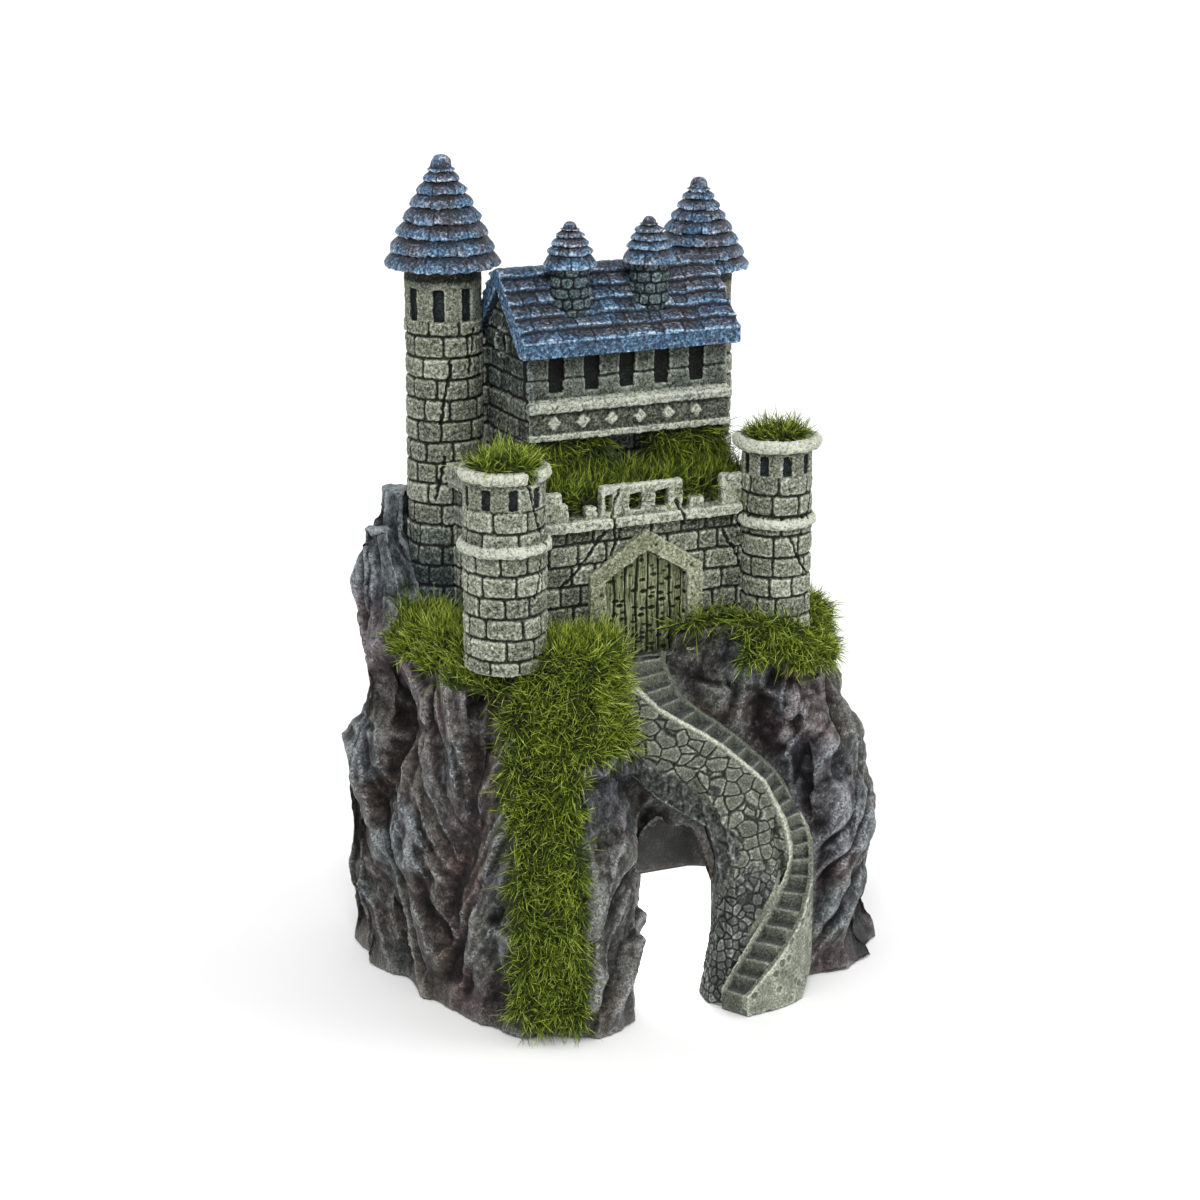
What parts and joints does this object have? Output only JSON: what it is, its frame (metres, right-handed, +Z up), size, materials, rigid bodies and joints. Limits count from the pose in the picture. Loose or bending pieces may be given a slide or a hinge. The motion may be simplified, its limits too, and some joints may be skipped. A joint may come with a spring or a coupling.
{
  "type": "resin cave ornament",
  "caption": "Castle on a hollow rock with a cave mouth, a winding flight of steps, round towers with tiled roofs and pads of moss, for an aquarium floor.",
  "frame": {"origin": "centre of the rock's footprint box, on the plane it stands on", "axes": "+Z up; +X to the right as the gate is faced; -Y is the way the gate looks"},
  "size_m": [0.1244, 0.0992, 0.1965],
  "materials": {
    "rock": "matte painted resin, dark grey with purple and blue tints and pale dry-brushed edges",
    "castle_stone": "matte painted resin, speckled grey bricks with dark joints",
    "pale_stone": "matte painted resin, pale grey-green",
    "stair_stone": "matte painted resin, grey-green cobbles with dark joints",
    "door_wood": "matte painted resin, weathered boards",
    "roof_tile": "satin painted resin, metallic blue with dark brown recesses",
    "moss": "green flock fibres"
  },
  "bodies": {
    "root": {"rock_base": "rock", "staircase": "stair_stone", "curtain_wall": "castle_stone", "gate_surround": "pale_stone", "gate_door": "door_wood", "side_wall": "castle_stone", "left_bastion": "castle_stone", "right_bastion": "castle_stone", "left_bastion_moss": "moss", "right_bastion_moss": "moss", "terrace_block": "castle_stone", "terrace_moss": "moss", "hall_base": "castle_stone", "left_hanging_moss": "moss", "right_hanging_moss": "moss", "hall": "castle_stone", "hall_roof": "roof_tile", "left_dormer": "castle_stone", "right_dormer": "castle_stone", "left_dormer_cap": "roof_tile", "right_dormer_cap": "roof_tile", "left_tower": "castle_stone", "right_tower": "castle_stone", "left_tower_roof": "roof_tile", "right_tower_roof": "roof_tile", "left_ledge_moss": "moss", "gate_moss": "moss", "slope_moss": "moss", "strip_moss": "moss", "right_ledge_moss": "moss"}
  },
  "joints": []
}
